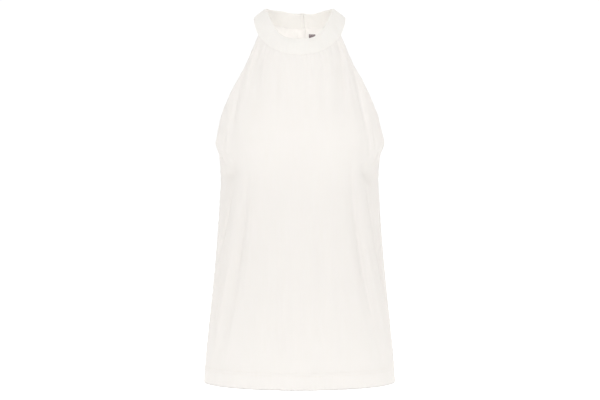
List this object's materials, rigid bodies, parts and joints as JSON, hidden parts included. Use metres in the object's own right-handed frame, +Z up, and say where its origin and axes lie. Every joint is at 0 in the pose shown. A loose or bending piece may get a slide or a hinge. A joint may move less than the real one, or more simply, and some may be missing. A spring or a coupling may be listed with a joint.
{
  "type": "halter-neck knit tank top",
  "caption": "Sleeveless A-line knit top with a wide halter neck band, cut-in armholes, a turned hem and a slit with a buttoned lap at the back neck.",
  "frame": {"origin": "midway between the two high shoulder points, where the neck band rests on the wearer", "axes": "+Z up along the garment's length, -Y out of the front, +X to the wearer's left"},
  "size_m": [0.3154, 0.2318, 0.6172],
  "materials": {
    "ivory_knit": "fine matt jersey knit",
    "band_knit": "fine matt jersey knit, doubled and pressed",
    "button_shell": "polished ivory resin",
    "label_tape": "satin woven tape"
  },
  "bodies": {
    "root": {"front": "ivory_knit", "back": "ivory_knit", "neck_band": "band_knit", "button": "button_shell", "label": "label_tape"}
  },
  "joints": []
}
